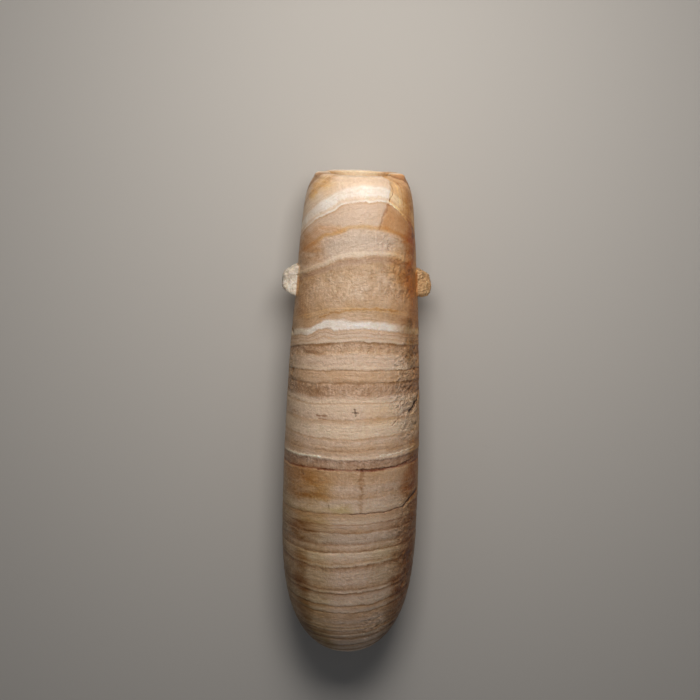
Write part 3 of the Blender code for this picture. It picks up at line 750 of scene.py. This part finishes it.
def damage(tree, place, spot):
    """What stains, flakes and cracks do at a place, with the painted shade on the sides and round the base
    and the painted highlights along raised edges: the tint they give, and the cracks' depth in mm.
    """
    tint = (1, 1, 1)
    depth = 0.0
    blurred_spot = surface_spot(tree, place, 9, (10, 7, 0))
    streaks = add(tree, VECTOR, {0: place, 1: (1 / 9, 1 / 2.5, 1 / 9)}, operation="MULTIPLY")
    patchy = add(tree, NOISE, {"Vector": streaks, "Scale": 1.0, "Detail": 5.0, "Roughness": 0.65})
    patchy = add(tree, RANGE, {0: patchy, 1: 0.34, 2: 0.66, 3: 0.4, 4: 1.2})
    off_the_tip = distance_from_axis(tree, place)
    off_the_tip = add(tree, RANGE, {0: off_the_tip, 1: 4.0, 2: 17.0, 3: 0.0, 4: 1.0}, **SMOOTH)
    patchy = add(tree, MATH, {0: patchy, 1: off_the_tip}, operation="MULTIPLY")
    even = add(tree, MATH, {0: off_the_tip, 1: 0.6}, operation="MULTIPLY")
    even = add(tree, MATH, {0: patchy, 1: 0.25, 2: even}, operation="MULTIPLY_ADD")
    # Tones and stains, with the painted shade on the sides and round the base.
    for table, share in ((TONES_AND_PAINTED_SHADE, even), (STAINS_AND_BASE_SHADE, patchy)):
        for *where, tint_colour, strength in table:
            amount = patch(tree, blurred_spot, *where)
            amount = add(tree, MATH, {0: amount, 1: strength}, operation="MULTIPLY")
            amount = add(tree, MATH, {0: amount, 1: share}, operation="MULTIPLY")
            tint = tinted(tree, tint, amount, tint_colour)
    for lost, softness, tint_colour, strength, edges in FLAKES:
        amount = flake(tree, spot, edges, softness)
        amount = add(tree, MATH, {0: amount, 1: strength}, operation="MULTIPLY")
        tint = tinted(tree, tint, amount, tint_colour)
    fray = add(tree, NOISE, {"Vector": place, "Scale": 1 / 1.3, "Detail": 2.0, "Roughness": 0.6})
    fray = add(tree, RANGE, {0: fray, 1: 0.3, 2: 0.7, 3: -1.0, 4: 1.0})
    # Cracks and seams darken; the near-white lines that stand proud are painted highlights.
    for lost, width, tint_colour, strength, points in CRACKS_AND_EDGE_HIGHLIGHTS:
        near = line(tree, spot, fray, width, points)
        depth = add(tree, MATH, {0: near, 1: lost, 2: depth}, operation="MULTIPLY_ADD")
        amount = add(tree, MATH, {0: near, 1: strength}, operation="MULTIPLY")
        tint = tinted(tree, tint, amount, tint_colour)
    return tint, depth


def banded_calcite():
    """Banded calcite, hand-rubbed and long buried: a soft satin with fine grit, and a slight inner glow."""
    stone = bpy.data.materials.new("banded calcite")
    stone.use_nodes = True
    tree = stone.node_tree
    shader = tree.nodes["Principled BSDF"]
    place = flask_space(tree, add(tree, "ShaderNodeTexCoord", output="Object"))
    spot = surface_spot(tree, place, 3.5, (3.0, 1.4, 0))
    granular = granularity(tree, spot)
    tint, crack_depth = damage(tree, place, spot)

    # Grains about 1 mm across and, where the surface is granular, a coarser grit with painted glints: pale
    # flecks where single grains catch the light. The real grains are finer: these are drawn coarser, so that
    # they still show from the camera.
    grain = add(tree, NOISE, {"Vector": place, "Scale": 1 / 1.1, "Detail": 4.0, "Roughness": 0.65})
    grain = add(tree, RANGE, {0: grain, 1: 0.28, 2: 0.72, 3: -1.0, 4: 1.0})
    grit = {"Vector": place, "Scale": 1 / 1.7, "Detail": 3.0, "Roughness": 0.55, "Distortion": 0.6}
    grit = add(tree, NOISE, grit)
    grit = add(tree, RANGE, {0: grit, 1: 0.36, 2: 0.64, 3: -0.8, 4: 1.2}, **SMOOTH)

    # Painted glints: pale flecks where single grains catch the light.
    painted_glints = add(tree, NOISE, {"Vector": place, "Scale": 1 / 1.2, "Detail": 1.0, "Roughness": 0.5})
    painted_glints = add(tree, RANGE, {0: painted_glints, 1: 0.6, 2: 0.7, 3: 0.0, 4: 1.0}, **SMOOTH)

    # The layers, broken up along their edges by the grains, and fading in and out.
    height = layer_height(tree, place, spot)
    broken = add(tree, MATH, {0: grain, 1: 0.28, 2: height}, operation="MULTIPLY_ADD")
    colour, fibrous = layers(tree, broken, lambda layer: linear(layer[1])[:3] + [layer[2]])
    clouds = add(tree, NOISE, {"Vector": place, "Scale": 1 / 8, "Detail": 4.0, "Roughness": 0.6})
    fading = add(tree, RANGE, {0: clouds, 1: 0.4, 2: 0.7, 3: 0.0, 4: 0.45})
    colour = add(tree, MIX, {0: fading, 4: colour, 5: linear(PALE)[:3]}, output=1, data_type="VECTOR")

    lugs = on_lugs(tree, place)
    left = add(tree, MATH, {0: add(tree, SPLIT, {0: place}), 1: 0.0}, operation="LESS_THAN")
    left = add(tree, MATH, {0: left, 1: lugs}, operation="MULTIPLY")
    right = add(tree, MATH, {0: lugs, 1: left}, operation="SUBTRACT")
    rough_lugs = add(tree, MATH, {0: left, 1: -0.7, 2: lugs}, operation="MULTIPLY_ADD")
    granular = add(tree, MATH, {0: granular, 1: rough_lugs}, operation="MAXIMUM")

    # Within a layer: laminae 1 mm thick, dark streaks between them, and fibres that stand across it, 1.2 mm
    # wide and 4.5 mm long, which are drawn coarser too. What is darker is browner, as in any clear stone.
    level = add(tree, UNITE, {1: height})
    laminae = add(tree, VECTOR, {0: place, 1: (1 / 12, 0, 1 / 12), 2: level}, operation="MULTIPLY_ADD")
    laminae = add(tree, NOISE, {"Vector": laminae, "Scale": 1.0, "Detail": 4.0, "Roughness": 0.65})
    laminae = add(tree, RANGE, {0: laminae, 1: 0.28, 2: 0.72, 3: -1.0, 4: 1.0})
    dashes = add(tree, VECTOR, {0: place, 1: (1 / 4, 0, 1 / 4), 2: level}, operation="MULTIPLY_ADD")
    dashes = add(tree, NOISE, {"Vector": dashes, "Scale": 0.9, "Detail": 2.0, "Roughness": 0.5})
    dashes = add(tree, RANGE, {0: dashes, 1: 0.57, 2: 0.68, 3: 0.0, 4: -0.14}, **SMOOTH)
    fibres = add(tree, VECTOR, {0: place, 1: (1 / 1.2, 1 / 4.5, 1 / 1.2)}, operation="MULTIPLY")
    fibres = add(tree, NOISE, {"Vector": fibres, "Scale": 1.0, "Detail": 3.0, "Roughness": 0.6})
    fibres = add(tree, RANGE, {0: fibres, 1: 0.34, 2: 0.66, 3: -1.0, 4: 1.0})
    plain = add(tree, RANGE, {0: fibrous, 1: 0.0, 2: 0.1, 3: 0.55, 4: 1.0})
    fibrous = add(tree, MATH, {0: fibrous, 1: 0.25}, operation="MAXIMUM")
    fibres = add(tree, MATH, {0: fibres, 1: fibrous}, operation="MULTIPLY")
    layered = add(tree, MATH, {0: 1.1, 1: fibrous}, operation="SUBTRACT")
    laminae = add(tree, MATH, {0: laminae, 1: layered}, operation="MULTIPLY")
    grit_here = add(tree, MATH, {0: fibrous, 1: 0.4}, operation="MULTIPLY")
    grit_here = add(tree, MATH, {0: granular, 1: grit_here}, operation="MAXIMUM")
    grit = add(tree, MATH, {0: grit, 1: grit_here}, operation="MULTIPLY")
    shade = add(tree, MATH, {0: laminae, 1: 0.13, 2: dashes}, operation="MULTIPLY_ADD")
    shade = add(tree, MATH, {0: fibres, 1: 0.2, 2: shade}, operation="MULTIPLY_ADD")
    shade = add(tree, MATH, {0: grain, 1: 0.13, 2: shade}, operation="MULTIPLY_ADD")
    shade = add(tree, MATH, {0: grit, 1: 0.23, 2: shade}, operation="MULTIPLY_ADD")
    shade = add(tree, MATH, {0: shade, 1: plain}, operation="MULTIPLY")
    # The painted glints lighten single grains where the surface is granular.
    painted_glints = add(tree, MATH, {0: painted_glints, 1: grit_here}, operation="MULTIPLY")
    shade = add(tree, MATH, {0: painted_glints, 1: 0.5, 2: shade}, operation="MULTIPLY_ADD")
    browner = (0.85, 1.1, 1.4)
    shade = add(tree, VECTOR, {0: shade, 1: browner, 2: (1.02, 1.02, 1.02)}, operation="MULTIPLY_ADD")
    colour = add(tree, VECTOR, {0: colour, 1: shade}, operation="MULTIPLY")
    colour = add(tree, VECTOR, {0: colour, 1: tint}, operation="MULTIPLY")

    # The lugs: the left one is bleached, and the right one is browner and rougher.
    for lug_share, lug_colour in ((left, "#ddd2c2"), (right, "#c79e70")):
        shaded = add(tree, VECTOR, {0: shade, 1: linear(lug_colour)[:3]}, operation="MULTIPLY")
        colour = add(tree, MIX, {0: lug_share, 4: colour, 5: shaded}, output=1, data_type="VECTOR")

    # Painted shade and dirt darken the pits, splits and flakes, the more the deeper they are; and the hollow
    # is stained by what was kept in it.
    pitted = add(tree, "ShaderNodeAttribute", output=2, attribute_name="pitted")
    pit_shade_and_dirt = add(tree, RANGE, {0: pitted, 1: 0.12, 2: 0.6, 3: 0.0, 4: 0.55})
    colour = tinted(tree, colour, pit_shade_and_dirt, "#a67e56")
    inside = add(tree, MATH, {0: 1.0, 1: outside(tree, place)}, operation="SUBTRACT")
    inside = add(tree, MATH, {0: inside, 1: 0.8}, operation="MULTIPLY")
    colour = tinted(tree, colour, inside, "#dab68c")
    tree.links.new(colour, shader.inputs["Base Color"])

    relief = add(tree, MATH, {0: laminae, 1: 0.05}, operation="MULTIPLY")
    relief = add(tree, MATH, {0: fibres, 1: 0.06, 2: relief}, operation="MULTIPLY_ADD")
    relief = add(tree, MATH, {0: grain, 1: 0.06, 2: relief}, operation="MULTIPLY_ADD")
    relief = add(tree, MATH, {0: grit, 1: 0.22, 2: relief}, operation="MULTIPLY_ADD")
    relief = add(tree, MATH, {0: relief, 1: crack_depth}, operation="SUBTRACT")
    bump = add(tree, "ShaderNodeBump", {"Height": relief, "Strength": 1.0, "Distance": MM})
    tree.links.new(bump, shader.inputs["Normal"])
    roughness = add(tree, RANGE, {0: grain, 1: -1.0, 2: 1.0, 3: 0.62, 4: 0.42})
    tree.links.new(roughness, shader.inputs["Roughness"])
    shader.inputs["IOR"].default_value = 1.55
    shader.inputs["Subsurface Weight"].default_value = 0.15
    shader.inputs["Subsurface Radius"].default_value = (1.0, 0.6, 0.35)
    shader.inputs["Subsurface Scale"].default_value = 1.2 * MM
    return stone


def pale_floor():
    """A large plain floor in rolled matt paint, even and without a gleam, just clear of the flat spot."""
    bpy.ops.object.select_all(action="DESELECT")
    bpy.ops.mesh.primitive_plane_add(size=6, location=(0, 0, -0.3 * MM))
    floor = bpy.context.object
    floor.name = "floor"
    bpy.ops.object.transform_apply(location=True, rotation=True, scale=True)
    paint = bpy.data.materials.new("pale matt paint")
    paint.use_nodes = True
    shader = paint.node_tree.nodes["Principled BSDF"]
    shader.inputs["Base Color"].default_value = linear("#c8c6c3")
    shader.inputs["Roughness"].default_value = 0.9
    floor.data.materials.append(paint)


def soft_light(name, place, target, size, power, colour, cone=None):
    """A square soft box that looks at a target or, where a cone is given, a round soft spotlight."""
    light = bpy.data.lights.new(name, "SPOT" if cone else "AREA")
    if cone:
        light.spot_size = cone
        light.spot_blend = 1.0
        light.shadow_soft_size = size / 2
    else:
        light.size = size
    light.energy = power
    light.color = linear(colour)[:3]
    lamp = bpy.data.objects.new(name, light)
    bpy.context.scene.collection.objects.link(lamp)
    lamp.location = place
    lamp.rotation_euler = (Vector(target) - Vector(place)).to_track_quat("-Z", "Y").to_euler()
    lamp.visible_camera = False


def studio():
    """Plain soft light, strongest over the mouth, and an even pale surround."""
    soft_light("key", (0.01, 0.20, 0.32), (0, 0.04, AXIS_HEIGHT), 0.14, 0.76, "#fff8f0")
    soft_light("mouth light", (0, 0.36, 0.13), (0, 0.09, AXIS_HEIGHT), 0.2, 1.44, "#fff4e4", radians(76))
    soft_light("fill", (0, -0.30, 0.28), (0, -0.06, AXIS_HEIGHT), 0.2, 0.03, "#ffffff")
    world = bpy.data.worlds.new("surround")
    world.use_nodes = True
    world.node_tree.nodes["Background"].inputs["Color"].default_value = linear("#e8ebf0")
    world.node_tree.nodes["Background"].inputs["Strength"].default_value = 0.07
    bpy.context.scene.world = world
    bpy.context.scene.view_settings.view_transform = "Standard"


def camera():
    """The camera looks down on the face, from a little towards the mouth."""
    tilt = radians(10.5)          # from straight down, towards the mouth
    roll = radians(1.74)
    distance = 0.7
    target = Vector((-1.86 * MM, 27.89 * MM, AXIS_HEIGHT))      # nearer the mouth than the middle
    back = Vector((0, sin(tilt), cos(tilt)))
    up = Vector((0, cos(tilt), -sin(tilt)))
    right = Vector((1, 0, 0))
    rolled_right = right * cos(roll) + up * sin(roll)
    rolled_up = up * cos(roll) - right * sin(roll)
    lens = bpy.data.cameras.new("camera")
    lens.lens = 88.32
    lens.clip_start = 0.01
    eye = bpy.data.objects.new("camera", lens)
    bpy.context.scene.collection.objects.link(eye)
    eye.location = target + back * distance
    eye.rotation_euler = Matrix((rolled_right, rolled_up, back)).transposed().to_euler()
    bpy.context.scene.camera = eye


def build():
    camera()
    studio()
    pale_floor()
    flask = turned_flask()
    for sizes in (LEFT_LUG, RIGHT_LUG):
        join_lug(flask, lug(**sizes))
    lay_down(flask)
    weather(flask)
    grind_flat(flask)
    bpy.ops.object.shade_smooth_by_angle(angle=radians(50))
    flask.data.materials.append(banded_calcite())
    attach(flask, BODY)
    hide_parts(NODE)


build()
